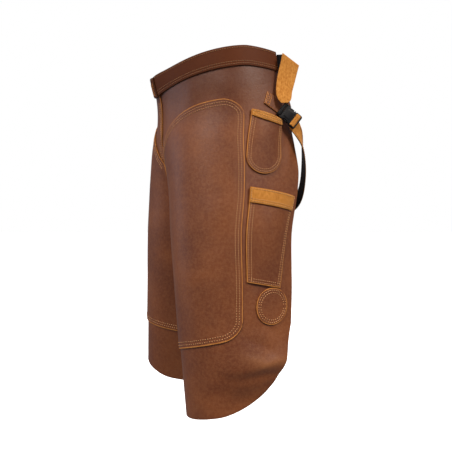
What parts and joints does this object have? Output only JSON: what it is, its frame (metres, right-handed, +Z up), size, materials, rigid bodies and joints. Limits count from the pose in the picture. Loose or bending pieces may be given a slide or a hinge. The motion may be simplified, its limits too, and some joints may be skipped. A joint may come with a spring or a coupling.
{
  "type": "farrier apron",
  "caption": "Split-leg leather work apron, filled out as worn: thigh patches, pockets, waistband, buckled waist belt and leg straps.",
  "frame": {"origin": "middle of the wearer's waist, level with the middle of the waistband at the side", "axes": "+Z up, the apron's front faces -Y, +X towards the wearer's left side"},
  "size_m": [0.5211, 0.3776, 0.8656],
  "materials": {
    "leather": "oiled, dark reddish brown, satin",
    "suede": "rough-out suede, tan",
    "webbing": "black woven webbing",
    "plastic": "black, satin"
  },
  "bodies": {
    "root": {"belt_tail": "suede", "belt_tail_root": "webbing", "hip_tab_left": "leather", "hip_tab_right": "leather", "leg_buckle_left_catch_front": "plastic", "leg_buckle_left_catch_rear": "plastic", "leg_buckle_left_plug": "plastic", "leg_buckle_left_socket": "plastic", "leg_buckle_right_catch_front": "plastic", "leg_buckle_right_catch_rear": "plastic", "leg_buckle_right_plug": "plastic", "leg_buckle_right_socket": "plastic", "leg_strap_left_suede": "suede", "leg_strap_left_webbing": "webbing", "leg_strap_right_suede": "suede", "leg_strap_right_webbing": "webbing", "long_pocket": "leather", "long_pocket_band": "suede", "panel_left": "leather", "panel_right": "leather", "round_patch": "leather", "small_pocket": "leather", "small_pocket_band": "suede", "thigh_patch_left": "leather", "thigh_patch_right": "leather", "waist_belt_left": "webbing", "waist_belt_right": "webbing", "waist_buckle_catch_front": "plastic", "waist_buckle_catch_rear": "plastic", "waist_buckle_plug": "plastic", "waist_buckle_socket": "plastic", "waistband_left": "leather", "waistband_right": "leather"}
  },
  "joints": []
}
